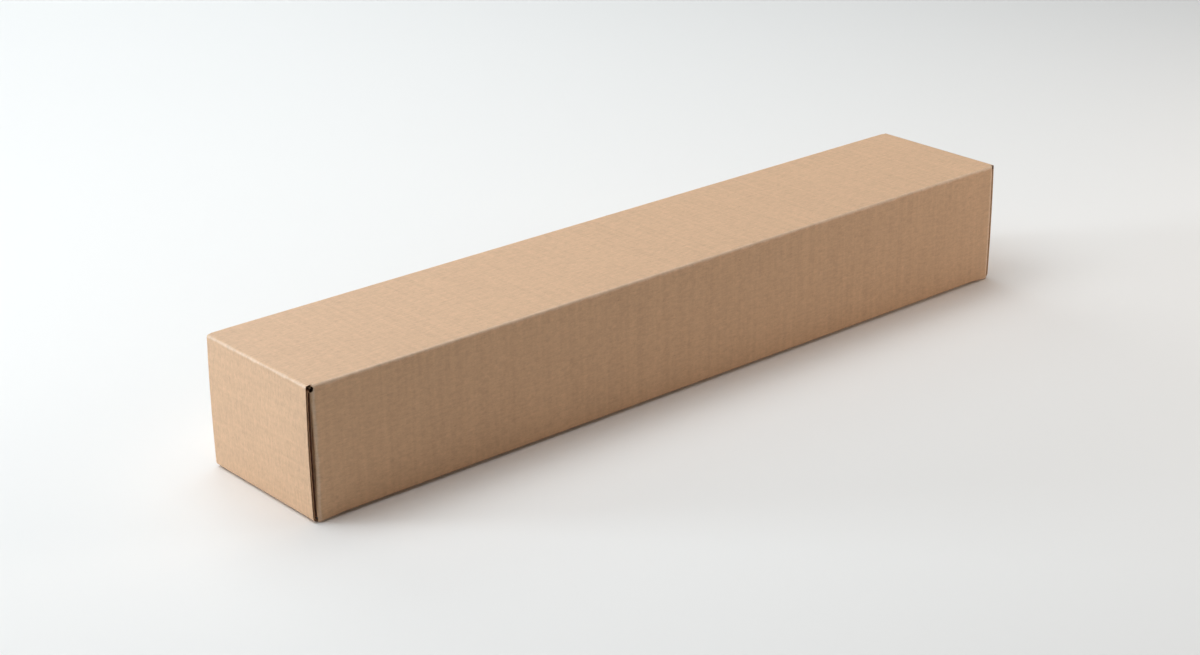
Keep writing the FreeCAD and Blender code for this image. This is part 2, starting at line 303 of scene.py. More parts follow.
@dataclass(frozen=True)
class CornerHole:
    """The small hole that the folds leave open at a top corner of the box. It runs in at a slant."""

    size: BoxSize
    inset: float = 4.5 * MM
    below_top: float = 3.25 * MM
    radius: float = 1.9 * MM
    reach: float = 3.0 * MM
    slant_in: float = 0.864
    slant_down: float = 0.536
    rim: float = 0.32 * MM
    rim_depths: tuple[float, float] = (0.05 * MM, 1.5 * MM)
    rim_angles: tuple[float, float] = (176.0, 254.0)

    def ring(self, end: End, face: Face, profile: Pairs, deep: float) -> list[Vector]:
        """Place a profile, given round the hole's middle, at a depth in from the flap's side.

        Args:
            end: Which end of the box.
            face: Which long side of the box.
            profile: Inset and height of each point.
            deep: How deep the points lie.

        Returns:
            The points in space.
        """
        start, top = self.size.half_length - self.inset, self.size.height - self.below_top
        return [Vector((end.value * (start - inset), face.value * (FLAP_HALF - deep), top + up))
                for inset, up in profile]

    def cutter(self, end: End, face: Face) -> Mesh:
        """Return the closed round bar, on the slant, that opens the hole at one corner.

        Args:
            end: Which end of the box.
            face: Which long side of the box.

        Returns:
            The mesh to cut out.
        """
        bars = [(deep, arc((self.slant_in * deep, -self.slant_down * deep), self.radius, 0, 345, 23))
                for deep in (-self.reach, self.reach)]
        return tube([self.ring(end, face, profile, deep) for deep, profile in bars], "corner_hole")

    def lip(self, end: End, face: Face) -> Mesh:
        """Return the thin lip of paper under the hole, between it and the flap's cut edge.

        Args:
            end: Which end of the box.
            face: Which long side of the box.

        Returns:
            The mesh of the lip.
        """
        profile = arc((0.0, 0.0), self.radius, *self.rim_angles, 12)
        profile += arc((0.0, 0.0), self.radius + self.rim, *self.rim_angles[::-1], 12)
        return tube([self.ring(end, face, profile, deep) for deep in self.rim_depths], "corner_lip")


# ---- Mesh helpers ----
def arc(centre: tuple[float, float], radius: float, start: float, stop: float, steps: int) -> Pairs:
    """Return points along a circular arc in a plane.

    Args:
        centre: The arc's centre.
        radius: The arc's radius.
        start: First angle, in degrees.
        stop: Last angle, in degrees.
        steps: Number of straight steps along the arc.

    Returns:
        A list of (across, up) pairs, both ends included.
    """
    angles = [math.radians(start + (stop - start) * step / steps) for step in range(steps + 1)]
    return [(centre[0] + radius * math.cos(a), centre[1] + radius * math.sin(a)) for a in angles]


def square_out(angle: float, power: float) -> float:
    """How much farther out a fold drawn out towards square lies than a round one, at an angle round it."""
    return (abs(math.cos(angle)) ** power + abs(math.sin(angle)) ** power) ** (-1 / power)


def share_of(value: float) -> float:
    """Hold a share between none and all."""
    return min(max(value, 0.0), 1.0)


def numbers(vectors: Iterable[Vector]) -> list[float]:
    """Return the coordinates of vectors, one after the other."""
    return [number for vector in vectors for number in vector]


def new_object(name: str, data: Mesh | bpy.types.Camera | bpy.types.AreaLight) -> Object:
    """Link a new object that shows a mesh, or is a camera or a lamp, and return it.

    Args:
        name: The object's name.
        data: What it shows.

    Returns:
        The object.
    """
    made = bpy.data.objects.new(name, data)
    bpy.context.scene.collection.objects.link(made)
    return made


def mesh_of(made: bmesh.types.BMesh, name: str) -> Mesh:
    """Turn an editable mesh into a plain one, free it and return the plain one.

    Args:
        made: The editable mesh.
        name: Name of the plain mesh.

    Returns:
        The plain mesh.
    """
    mesh = bpy.data.meshes.new(name)
    made.to_mesh(mesh)
    made.free()
    return mesh


def settle(piece: Object) -> None:
    """Replace an object's mesh by what its modifiers make of it, and remove them.

    Args:
        piece: The object.
    """
    graph = bpy.context.evaluated_depsgraph_get()
    mesh = bpy.data.meshes.new_from_object(piece.evaluated_get(graph), preserve_all_data_layers=True,
                                           depsgraph=graph)
    piece.modifiers.clear()
    piece.data = mesh


def solid_copy(node: str, name: str) -> Object:
    """Copy a node of the frame as a new object with one closed, merged mesh and room for two materials.

    Args:
        node: Name of the node.
        name: Name of the new object.

    Returns:
        The new object.
    """
    made = bmesh.new()
    made.from_mesh(frame["nodes"][node].data)
    bmesh.ops.remove_doubles(made, verts=made.verts, dist=SAME_PLACE)
    bmesh.ops.recalc_face_normals(made, faces=made.faces)
    mesh = mesh_of(made, name)
    for _ in range(2):
        mesh.materials.append(None)
    return new_object(name, mesh)


def tube(sections: Sequence[Sequence[Vector]], name: str) -> Mesh:
    """Join rings of points into one closed solid with flat ends.

    Args:
        sections: Rings of points, each with the same number of them in the same order.
        name: Name of the mesh.

    Returns:
        The closed mesh, with its faces pointing outwards.
    """
    made = bmesh.new()
    rings = [[made.verts.new(point) for point in ring] for ring in sections]
    count = len(rings[0])
    for ring, following in zip(rings, rings[1:]):
        for side in range(count):
            turn = (side + 1) % count
            made.faces.new((ring[side], ring[turn], following[turn], following[side]))
    made.faces.new(rings[0][::-1])
    made.faces.new(rings[-1])
    bmesh.ops.recalc_face_normals(made, faces=made.faces)
    return mesh_of(made, name)


def block(one: Vector, two: Vector) -> Mesh:
    """Return a closed block between two opposite corners.

    Args:
        one: A corner.
        two: The corner opposite.

    Returns:
        The mesh of the block.
    """
    low, high = (Vector(map(choose, one, two)) for choose in (min, max))
    ring = [(low.y, low.z), (high.y, low.z), (high.y, high.z), (low.y, high.z)]
    return tube([[Vector((x, y, z)) for y, z in ring] for x in (low.x, high.x)], "block")


def carve(piece: Object, cutters: Iterable[Mesh], number: int = 1) -> None:
    """Cut closed meshes out of a piece, and remove them.

    Args:
        piece: The piece that is cut.
        cutters: The meshes to cut out.
        number: Which of the piece's two materials the faces that they leave take.
    """
    used = []
    for mesh in cutters:
        for _ in range(2):
            mesh.materials.append(None)
        mesh.polygons.foreach_set("material_index", [number] * len(mesh.polygons))
        cutter = new_object("cutter", mesh)
        cut = piece.modifiers.new("cut", "BOOLEAN")
        cut.operation, cut.solver, cut.material_mode = "DIFFERENCE", "MANIFOLD", "INDEX"
        cut.object = cutter
        used.append(cutter)
    settle(piece)
    for cutter in used:
        mesh = cutter.data
        bpy.data.objects.remove(cutter)
        bpy.data.meshes.remove(mesh)


def smooth(piece: Object, angle: float) -> None:
    """Shade a piece smoothly over its bends, with large flat faces left flat and edges over angle sharp.

    Args:
        piece: The piece that is shaded.
        angle: The sharpest bend that is smoothed, in degrees.
    """
    piece.data.polygons.foreach_set("use_smooth", [True] * len(piece.data.polygons))
    piece.data.set_sharp_from_angle(angle=math.radians(angle))
    weigh = piece.modifiers.new("weigh", "WEIGHTED_NORMAL")
    weigh.mode, weigh.weight, weigh.keep_sharp = "FACE_AREA", 100, True
    settle(piece)


def joined(name: str, meshes: Sequence[Mesh], finish: Material) -> Object:
    """Join plain meshes into one new object in one material and return it.

    Args:
        name: Name of the new object.
        meshes: The meshes, which are removed.
        finish: The material.

    Returns:
        The new object.
    """
    made = bmesh.new()
    for mesh in meshes:
        made.from_mesh(mesh)
        bpy.data.meshes.remove(mesh)
    result = mesh_of(made, name)
    result.materials.append(finish)
    result.polygons.foreach_set("material_index", [0] * len(result.polygons))
    return new_object(name, result)


# ---- Node helpers ----
def operator(operation: str, turned: bool = False) -> Callable[["Value", object], "Value"]:
    """Return an operator that adds a math node, with its two values turned round if asked.

    Args:
        operation: The math node's operation.
        turned: Whether the other value comes first.

    Returns:
        The operator, for use as a method.
    """
    def work(self: "Value", other: object) -> "Value":
        """Add the node and return its result."""
        return self.build.math(operation, *((other, self) if turned else (self, other)))
    return work


@dataclass(frozen=True)
class Value:
    """An output of a node under construction. Plain sums on it add math nodes."""

    build: "Tree"
    socket: bpy.types.NodeSocket

    __add__, __radd__ = operator("ADD"), operator("ADD", True)
    __sub__, __rsub__ = operator("SUBTRACT"), operator("SUBTRACT", True)
    __mul__, __truediv__ = operator("MULTIPLY"), operator("DIVIDE")

    def __abs__(self) -> "Value":
        """Return the value without its sign."""
        return self.build.math("ABSOLUTE", self)


@dataclass
class Tree:
    """A node tree under construction, with short ways to add and join nodes."""

    tree: NodeTree
    made: int = 0
    columns: int = 12
    spacing: tuple[int, int] = (200, 220)

    @classmethod
    def of(cls, owner: Material | bpy.types.World) -> "Tree":
        """Give a material or a world an empty node tree and return it.

        Args:
            owner: The material or the world.

        Returns:
            The empty tree.
        """
        owner.use_nodes = True
        owner.node_tree.nodes.clear()
        return cls(owner.node_tree)

    def node(self, kind: str, inputs: dict | None = None, **settings: object) -> dict[str, Value]:
        """Add a node.

        Args:
            kind: The node's type name.
            inputs: Input name or number to a plain value, or to the value that feeds it.
            **settings: Properties of the node itself.

        Returns:
            The node's outputs by name.
        """
        node = self.tree.nodes.new(kind)
        row, column = divmod(self.made, self.columns)
        node.location = (self.spacing[0] * column, -self.spacing[1] * row)
        self.made += 1
        for name, value in settings.items():
            setattr(node, name, value)
        for name, value in (inputs or {}).items():
            socket = node.inputs[name] if isinstance(name, int) else next(
                s for s in node.inputs if s.enabled and s.name == name)
            if isinstance(value, Value):
                self.tree.links.new(value.socket, socket)
            else:
                socket.default_value = value
        return {socket.name: Value(self, socket) for socket in node.outputs if socket.enabled}

    def add(self, kind: str, inputs: dict | None = None, **settings: object) -> Value:
        """Add a node in the same way and return its first output."""
        return next(iter(self.node(kind, inputs, **settings).values()))

    def math(self, operation: str, *values: object, clamp: bool = False) -> Value:
        """Add a math node on plain numbers or values and return its result."""
        return self.add("ShaderNodeMath", dict(enumerate(values)), operation=operation, use_clamp=clamp)

    def vector(self, operation: str, *values: object, **named: object) -> Value:
        """Add a vector math node on plain vectors or values and return its result."""
        return self.add("ShaderNodeVectorMath", {**dict(enumerate(values)), **named}, operation=operation)

    def ramp(self, value: object, low: float, high: float, first: object = 0.0, last: object = 1.0) -> Value:
        """Add a smooth change from first to last as value goes from low to high, and return it."""
        inputs = {"Value": value, "From Min": low, "From Max": high, "To Min": first, "To Max": last}
        return self.add("ShaderNodeMapRange", inputs, interpolation_type="SMOOTHSTEP")

    def noise(self, place: object, size: float, detail: float = 2.0, roughness: float = 0.5) -> Value:
        """Add a noise whose blotches are about size metres across and return its value, 0 to 1."""
        inputs = {"Vector": place, "Scale": 1.0 / size, "Detail": detail, "Roughness": roughness}
        return self.add("ShaderNodeTexNoise", inputs, noise_dimensions="3D")

    def mix(self, share: object, first: object, last: object) -> Value:
        """Mix two colours by a share and return the result."""
        return self.add("ShaderNodeMix", {"Factor": share, "A": first, "B": last}, data_type="RGBA",
                        clamp_factor=True)

    def parts(self, vector: Value) -> list[Value]:
        """Return the X, Y and Z of a vector."""
        return list(self.node("ShaderNodeSeparateXYZ", {0: vector}).values())


def add_sockets(tree: NodeTree, way: str, kind: str, values: dict[str, object]) -> dict[str, str]:
    """Add sockets of one kind to a node group.

    Args:
        tree: The group.
        way: "INPUT" or "OUTPUT".
        kind: The sockets' type, without its NodeSocket prefix.
        values: Each socket's name, with its default value or None.

    Returns:
        Each socket's identifier by its name.
    """
    made = {}
    for name, value in values.items():
        socket = tree.interface.new_socket(name=name, in_out=way, socket_type=f"NodeSocket{kind}")
        if value is not None:
            socket.default_value = value
        made[name] = socket.identifier
    return made


# ---- The fluted medium ----
@dataclass
class FlutedMedium:
    """The wavy paper between the liners, made as a strip that follows a cut edge."""

    board: Board
    rows: int = 4
    steps: int = 12
    rows_along: int = 10
    steps_along: int = 5
    fewest_steps: float = 24.0
    depth: float = 8.5 * MM
    set_back: float = 0.12 * MM
    crushed_to: float = 0.55
    stray: float = 0.16
    stray_scale: float = 1.7
    seed: float = 3.7
    tree: NodeTree = field(init=False)
    sockets: dict[str, str] = field(init=False)

    def __post_init__(self) -> None:
        """Build the node tree once."""
        self.tree = tree = bpy.data.node_groups.new("fluted_medium", "GeometryNodeTree")
        tree.is_modifier = True
        add_sockets(tree, "INPUT", "Geometry", {"Edge": None})
        self.sockets = add_sockets(tree, "INPUT", "Float", {
            "Pitch": self.board.pitch, "Crest": self.board.crest, "Crushed": 0.5, "Across": 1.0,
            "Depth": self.depth, "Set Back": self.set_back, "Stray": self.stray, "Seed": self.seed})
        self.sockets |= add_sockets(tree, "INPUT", "Int", {"Rows": self.rows, "Steps": self.steps})
        self.sockets |= add_sockets(tree, "INPUT", "Material", {"Finish": None})
        add_sockets(tree, "OUTPUT", "Geometry", {"Strip": None})
        self._wire()

    def _wire(self) -> None:
        """Join the nodes: a grid is laid along the edge, waved across the board and turned into a strip."""
        build = Tree(self.tree)
        given = build.node("NodeGroupInput")
        curve = build.add("GeometryNodeMeshToCurve", {"Mesh": given["Edge"]})
        flutes = build.add("GeometryNodeCurveLength", {"Curve": curve}) / given["Pitch"]
        count = build.math("MAXIMUM", flutes * given["Steps"], self.fewest_steps)
        grid = build.add("GeometryNodeMeshGrid", {"Size X": 1.0, "Size Y": 1.0, "Vertices X": count,
                                                  "Vertices Y": given["Rows"]})
        x, y, _ = build.parts(build.add("GeometryNodeInputPosition"))
        along, deep = (build.math("ADD", way, 0.5, clamp=True) for way in (x, y))
        inward, across, lean, place = (self._sample(build, curve, along, name)
                                       for name in ("inward", "across", "lean", ""))
        stray = build.add("ShaderNodeTexNoise", {"W": along * flutes + given["Seed"],
                                                 "Scale": self.stray_scale, "Detail": 1.0},
                          noise_dimensions="1D")
        stray = (stray - 0.5) * given["Stray"]
        depth = given["Set Back"] + deep * (given["Depth"] - given["Set Back"])
        waves = along * flutes * given["Across"] + depth / given["Pitch"] * (1.0 - given["Across"])
        swell = build.ramp(deep, 0.0, self.crushed_to, given["Crushed"], 1.0)
        height = given["Crest"] * swell * (build.math("SINE", (waves + stray) * FULL_TURN) + stray)
        shift = build.vector("ADD", build.vector("SCALE", across, Scale=height),
                             build.vector("SCALE", inward, Scale=depth))
        leaning = build.vector("SCALE", lean, Scale=build.ramp(deep, 0.0, self.crushed_to, 1.0, 0.0))
        target = build.vector("ADD", place, build.vector("ADD", shift, leaning))
        strip = build.add("GeometryNodeSetPosition", {"Geometry": grid, "Position": target})
        strip = build.add("GeometryNodeSetShadeSmooth", {"Geometry": strip})
        strip = build.add("GeometryNodeRealizeInstances", {"Geometry": strip})
        strip = build.add("GeometryNodeSetMaterial", {"Geometry": strip, "Material": given["Finish"]})
        build.node("NodeGroupOutput", {"Strip": strip})

    @staticmethod
    def _sample(build: Tree, curve: Value, along: Value, name: str) -> Value:
        """Read an attribute of the edge part of the way along it, or its place where the name is empty.

        Args:
            build: The tree that the nodes go into.
            curve: The edge.
            along: The share of the way along it.
            name: The attribute's name.

        Returns:
            What is read there.
        """
        inputs, kind = {"Curves": curve, "Factor": along}, "FLOAT_VECTOR"
        if name:
            inputs["Value"] = build.add("GeometryNodeInputNamedAttribute", {"Name": name}, data_type=kind)
        node = build.node("GeometryNodeSampleCurve", inputs, mode="FACTOR", data_type=kind)
        return node["Value" if name else "Position"]

    def strip(self, edge: CutEdge, finish: Material) -> Mesh:
        """Make the strip of medium behind a cut edge, as a plain mesh with the paper's thickness.

        Args:
            edge: The cut edge.
            finish: The strip's material.

        Returns:
            The mesh of the strip.
        """
        line = bpy.data.meshes.new(edge.name)
        line.from_pydata(edge.points, [(n, n + 1) for n in range(len(edge.points) - 1)], [])
        leans = [way * push for way, push in zip(edge.across, edge.lean or [0.0] * len(edge.points))]
        for name, values in (("inward", edge.inward), ("across", edge.across), ("lean", leans)):
            line.attributes.new(name, "FLOAT_VECTOR", "POINT").data.foreach_set("vector", numbers(values))
        holder = new_object(edge.name, line)
        flute = holder.modifiers.new("flute", "NODES")
        flute.node_group = self.tree
        inputs = {"Finish": finish, "Crushed": edge.crushed}
        if edge.cut is Cut.ALONG:
            inputs.update({"Across": 0.0, "Rows": self.rows_along, "Steps": self.steps_along})
        for name, value in inputs.items():
            flute[self.sockets[name]] = value
        paper = holder.modifiers.new("paper", "SOLIDIFY")
        paper.thickness, paper.offset = self.board.medium, 0.0
        settle(holder)
        mesh = holder.data
        bpy.data.objects.remove(holder)
        return mesh


# ---- Finishes ----
@dataclass(frozen=True)
class Mark:
    """One kind of unevenness of kraft paper, with its share of the tone."""

    size: float
    share: float
    stretch: Triple | None = None
    detail: float = 2.0
    roughness: float = 0.5

    def pattern(self, build: Tree, sheet: Value) -> Value:
        """Add its noise and return the value, 0 to 1."""
        place = build.vector("MULTIPLY", sheet, self.stretch) if self.stretch else sheet
        return build.noise(place, self.size, self.detail, self.roughness)


@dataclass(frozen=True)
class KraftPaper:
    """The shader group that gives bare kraft paper its tone, its height and its lighter edges, which are
    partly edge wear and partly a painted highlight along the folds.
    """

    board: Board
    size: BoxSize
    cloud: Mark = Mark(60 * MM, 0.08)
    blotch: Mark = Mark(5 * MM, 0.15, detail=3.0, roughness=0.6)
    mottle: Mark = Mark(2.2 * MM, 0.22, roughness=0.6)
    stripe: Mark = Mark(3.0 * MM, 0.17, (1.0, 0.03, 0.03), 1.0)
    streak: Mark = Mark(1.6 * MM, 0.34, (0.22, 1.0, 1.0), roughness=0.6)
    grain: Mark = Mark(0.5 * MM, 0.36, (0.3, 1.0, 1.0), roughness=0.7)
    speck: Mark = Mark(1.1 * MM, 1.0, (0.35, 1.0, 1.0), 1.0)
    specks_from: float = 0.73
    specks_to: float = 0.80
    flute_waver: float = 0.35
    waver_size: float = 40 * MM
    fade_size: float = 30 * MM
    flute_least: float = 0.4
    wear_highlight_noise_size: float = 9 * MM
    flute_height: float = 0.023 * MM
    grain_height: float = 0.030 * MM
    streak_height: float = 0.035 * MM
    cloud_height: float = 0.5 * MM
    worn_least: float = 1.6 * MM
    worn_most: float = 3.2 * MM
    beside_from: float = 2.4 * MM
    beside_to: float = 2.2 * MM

    def make(self) -> NodeTree:
        """Build the group, which puts out a tone, a fleck mask, a mask of edge wear and painted highlight,
        and a height.

        Returns:
            The shader group.
        """
        tree = bpy.data.node_groups.new("kraft_paper", "ShaderNodeTree")
        add_sockets(tree, "INPUT", "Vector", dict.fromkeys(("Sheet", "Place")))
        add_sockets(tree, "INPUT", "Float", dict.fromkeys(("Mottle", "Washboard", "Fibre"), 1.0))
        add_sockets(tree, "OUTPUT", "Float", dict.fromkeys(("Tone", "Flecks", "Worn", "Height")))
        build = Tree(tree)
        given = build.node("NodeGroupInput")
        sheet = given["Sheet"]
        kinds = (self.cloud, self.blotch, self.mottle, self.stripe, self.streak, self.grain)
        marks = [kind.pattern(build, sheet) - 0.5 for kind in kinds]
        parts = [mark * kind.share for mark, kind in zip(marks, kinds)]
        cloud, streak, grain = marks[0], marks[4], marks[5]
        rough = grain * self.grain_height + streak * self.streak_height
        height = self.flute_lines(build, sheet) * given["Washboard"] * self.flute_height
        build.node("NodeGroupOutput", {
            "Tone": 1.0 + sum(parts[1:], parts[0]) * given["Mottle"],
            "Flecks": build.ramp(self.speck.pattern(build, sheet), self.specks_from, self.specks_to),
            "Worn": self.worn(build, sheet, given["Place"]),
            "Height": height + rough * given["Fibre"] + cloud * self.cloud_height})
        return tree

    def flute_lines(self, build: Tree, sheet: Value) -> Value:
        """Return the faint waves in the liner over the flutes, stronger in some places than in others.

        Args:
            build: The tree that the nodes go into.
            sheet: The place on the unrolled sheet.

        Returns:
            The waves, from -1 to 1.
        """
        waver = (build.noise(sheet, self.waver_size, 1.0) - 0.5) * self.flute_waver
        phase = (build.parts(sheet)[0] / self.board.pitch + waver) * FULL_TURN
        fade = build.noise(sheet, self.fade_size)
        return build.math("SINE", phase) * build.ramp(fade, 0.3, 0.7, self.flute_least, 1.0)

    def worn(self, build: Tree, sheet: Value, place: Value) -> Value:
        """Return the mask of the lighter edges, partly edge wear and partly a painted highlight along the
        folds: the places that are close to two of the box's faces.

        Args:
            build: The tree that the nodes go into.
            sheet: The place on the unrolled sheet.
            place: The place in the box.

        Returns:
            The mask, 0 to 1.
        """
        size = self.size
        x, y, z = build.parts(place)
        beside = build.ramp(abs(y), size.half_width - self.beside_from, size.half_width - self.beside_to,
                            0.0, size.crease_in)
        gaps = (abs(size.half_length - abs(x) - beside), size.half_width - abs(y),
                build.math("MINIMUM", z, size.height - z))
        total = gaps[0] + gaps[1] + gaps[2]
        most, least = (build.math(way, build.math(way, gaps[0], gaps[1]), gaps[2])
                       for way in ("MAXIMUM", "MINIMUM"))
        wear_highlight_noise = build.noise(sheet, self.wear_highlight_noise_size, 3.0, 0.65)
        reach = build.ramp(wear_highlight_noise, 0.25, 0.75, self.worn_least, self.worn_most)
        return build.ramp((total - most - least) / reach, 0.25, 1.0, 1.0, 0.0)


@dataclass(frozen=True)
class Kraft:
    """One finish of the brown paper that the board is made of. Colours are linear."""

    name: str
    colour: Triple
    fleck: Triple
    # The lighter edge colour: partly edge wear and partly a painted highlight along the folds.
    worn: Triple
    roughness: float = 0.58
    washboard: float = 1.0
    fleck_share: float = 0.5
    worn_share: float = 0.5

    def make(self, group: NodeTree) -> Material:
        """Make the material round the shader group for kraft paper, and return it.

        Args:
            group: The shader group for kraft paper.

        Returns:
            The material.
        """
        material = bpy.data.materials.new(self.name)
        build = Tree.of(material)
        inputs = {"Mottle": 1.0, "Washboard": self.washboard, "Fibre": 1.0}
        for name in ("Sheet", "Place"):
            inputs[name] = build.node("ShaderNodeAttribute", attribute_type="GEOMETRY",
                                      attribute_name=name.lower())["Vector"]
        paper = build.node("ShaderNodeGroup", inputs, node_tree=group)
        base = build.mix(paper["Flecks"] * self.fleck_share, (*self.colour, 1.0), (*self.fleck, 1.0))
        base = build.mix(paper["Worn"] * self.worn_share, base, (*self.worn, 1.0))
        toned = build.vector("SCALE", base, Scale=paper["Tone"])
        bump = build.add("ShaderNodeBump", {"Strength": 1.0, "Distance": 1.0, "Height": paper["Height"]})
        shader = build.add("ShaderNodeBsdfPrincipled", {"Base Color": toned, "Roughness": self.roughness,
                                                        "Normal": bump})
        build.node("ShaderNodeOutputMaterial", {"Surface": shader})
        material.diffuse_color = (*self.colour, 1.0)
        return material


@dataclass(frozen=True)
class Finishes:
    """The materials of the box."""

    liner: Material
    # hollow: a near-black finish painted inside the flute channels, the corner holes and the crease, as
    # painted shade where the shadow falls.
    hollow: Material
    medium: Material

    @classmethod
    def make(cls, board: Board, size: BoxSize) -> "Finishes":
        """Make the materials from one shader group.

        Args:
            board: The board that the box is made of.
            size: The sizes of the box.

        Returns:
            The materials.
        """
        group = KraftPaper(board, size).make()
        plain = {"washboard": 0.0, "worn_share": 0.0}
        # The first colour here is painted shade for the insides of the cut edges and holes; the second is the
        # medium's own colour.
        painted_shade, light = (0.15, 0.057, 0.023), (0.48, 0.26, 0.14)
        # The liner's last colour is the lighter edge colour, partly edge wear and partly a painted highlight.
        kinds = (Kraft("kraft_liner", (0.58, 0.354, 0.20), (0.33, 0.19, 0.10), (0.77, 0.59, 0.43)),
                 Kraft("kraft_hollow", painted_shade, (0.10, 0.038, 0.015), painted_shade, 0.85, **plain),
                 Kraft("kraft_medium", light, (0.30, 0.16, 0.08), light, 0.8, **plain))
        return cls(*(kind.make(group) for kind in kinds))


# ---- The box ----
@dataclass
class Unrolled:
    """Where a point of the folded box lay on the flat sheet, so that the paper's patterns run over folds."""

    size: BoxSize
    board: Board
    dust_in: float = 4.2 * MM
    fold_up: float = 3.9 * MM
    top_depth: float = 3.3 * MM

    def inset(self, point: Vector) -> float:
        """Distance of a point in from the nearer end of the box."""
        return self.size.half_length - abs(point.x)

    def back_out(self, point: Vector, inset: float) -> float:
        """Turn a distance in from the end nearer to a point into a place along the box."""
        return math.copysign(self.size.half_length - inset, point.x)

    def sleeve(self, point: Vector) -> Vector:
        """Place on the sheet of a point of the folded sleeve.

        Args:
            point: A point of the sleeve.

        Returns:
            Its distance across the flutes, then its place over and through the board.
        """
        radius, start = self.board.fold_radius, self.size.fold_side
        centre_in, inset = self.dust_in + radius, self.inset(point)
        if inset > centre_in or point.z > self.size.height - self.top_depth:
            return point.copy()
        side, deep = abs(point.y) - start, centre_in - inset
        if side > 0:
            along, deep = centre_in - radius * math.atan2(deep, side), math.hypot(side, deep)
        else:
            along = centre_in - radius * math.pi / 2 + side
        return Vector((self.back_out(point, along), math.copysign(start + deep, point.y), point.z))

    def crease(self, point: Vector) -> Vector:
        """Place on the sheet of a point of the fold at the top of an end.

        Args:
            point: A point of the folded box.

        Returns:
            Its place on the sheet.
        """
        centre = self.size.fold_top
        back, up = self.size.crease_in - self.inset(point), point.z - centre
        angle = math.atan2(max(back, 0.0), up) if up > 0 else math.pi / 2
        along = self.size.crease_in - self.board.fold_radius * angle
        return Vector((self.back_out(point, along), point.y, centre + math.hypot(back, up)))

    def flap(self, point: Vector) -> Vector:
        """Place on the sheet of a point of an end flap or its tuck.

        Args:
            point: A point of the folded box.

        Returns:
            Its place on the sheet.
        """
        radius, crease_in, height = self.board.fold_radius, self.size.crease_in, self.size.height
        start = crease_in - radius * math.pi / 2 - self.size.fold_top
        inset = self.inset(point)
        if inset > crease_in:
            along = start + self.fold_up - radius * math.pi / 2 - (inset - crease_in)
            return Vector((self.back_out(point, along), point.y, height - point.z))
        along = start + max(point.z, self.fold_up)
        if point.z < self.fold_up:
            along -= radius * math.atan2(self.fold_up - point.z, crease_in - inset)
        return Vector((self.back_out(point, along), point.y, height - inset))

    def flap_stands_in(self, up: float) -> float:
        """How far the outside of an end flap stands in from the end of the box at a height.

        Args:
            up: The height.

        Returns:
            The distance in from the end of the box.
        """
        low, high, bow = self.fold_up, self.size.fold_top, self.board.flap_bow
        half, middle = (high - low) / 2, (high + low) / 2
        radius = (half ** 2 + bow ** 2) / (2 * bow)
        return radius - math.sqrt(radius ** 2 - (min(max(up, low), high) - middle) ** 2)

    def mark(self, piece: Object, unroll: Unroll) -> None:
        """Store each point's own place, and its place on the sheet, as attributes of a finished piece.

        Args:
            piece: The finished piece.
            unroll: What gives a point's place on the sheet.
        """
        points = [vertex.co for vertex in piece.data.vertices]
        for name, values in (("place", points), ("sheet", map(unroll, points))):
            layer = piece.data.attributes.new(name, "FLOAT_VECTOR", "POINT")
            layer.data.foreach_set("vector", numbers(values))


def report(piece: Object) -> None:
    """Log a finished piece's name and its number of triangles."""
    piece.data.calc_loop_triangles()
    log.info("%s: %d triangles", piece.name, len(piece.data.loop_triangles))


@dataclass
class Part:
    """What every part of the box is made with."""

    board: Board
    size: BoxSize
    finishes: Finishes
    flutes: FlutedMedium
    sheet: Unrolled
    hole: CornerHole

    def finish_board(self, board: Object, node: str, body: str, unroll: Unroll, trims: list[Mesh],
                     hollows: Sequence[CutEdge], ends: Iterable[End], angle: float) -> None:
        """Cut and colour a copy of a CAD body, and let it take that body's place.

        Args:
            board: The copy.
            node: The CAD body's name in the frame.
            body: The body that it rides on.
            unroll: The rule that finds a point's place on the sheet.
            trims: Blocks that take off what another piece shows.
            hollows: The cut edges that are hollowed between the liners.
            ends: The ends at which it has corner holes.
            angle: Edges sharper than this, in degrees, stay sharp.
        """
        carve(board, trims, 0)
        holes = [self.hole.cutter(end, face) for end in ends for face in Face]
        # The faces that the channels and the corner holes leave take the hollow finish, a dark painted shade.
        carve(board, [*(edge.channel(self.board) for edge in hollows), *holes])
        smooth(board, angle)
        board.data.materials[0], board.data.materials[1] = self.finishes.liner, self.finishes.hollow
        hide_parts(node)
        self.place(board, body, unroll)

    def place(self, piece: Object, body: str, unroll: Unroll) -> None:
        """Let a finished piece ride on a body, with its places on the sheet.

        Args:
            piece: The finished piece.
            body: Name of the body.
            unroll: What gives a point's place on the sheet.
        """
        self.sheet.mark(piece, unroll)
        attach(piece, body)
        report(piece)

    def add_medium(self, name: str, edges: Sequence[CutEdge], body: str, unroll: Unroll,
                   scraps: Sequence[Mesh] = ()) -> None:
        """Make the fluted medium that shows at a part's cut edges.

        Args:
            name: Name of the piece.
            edges: The cut edges.
            body: The body that it rides on.
            unroll: The rule that finds a point's place on the sheet.
            scraps: Small bits of the same paper that belong to the piece.
        """
        strips = [self.flutes.strip(edge, self.finishes.medium) for edge in edges]
        self.place(joined(name, [*strips, *scraps], self.finishes.medium), body, unroll)


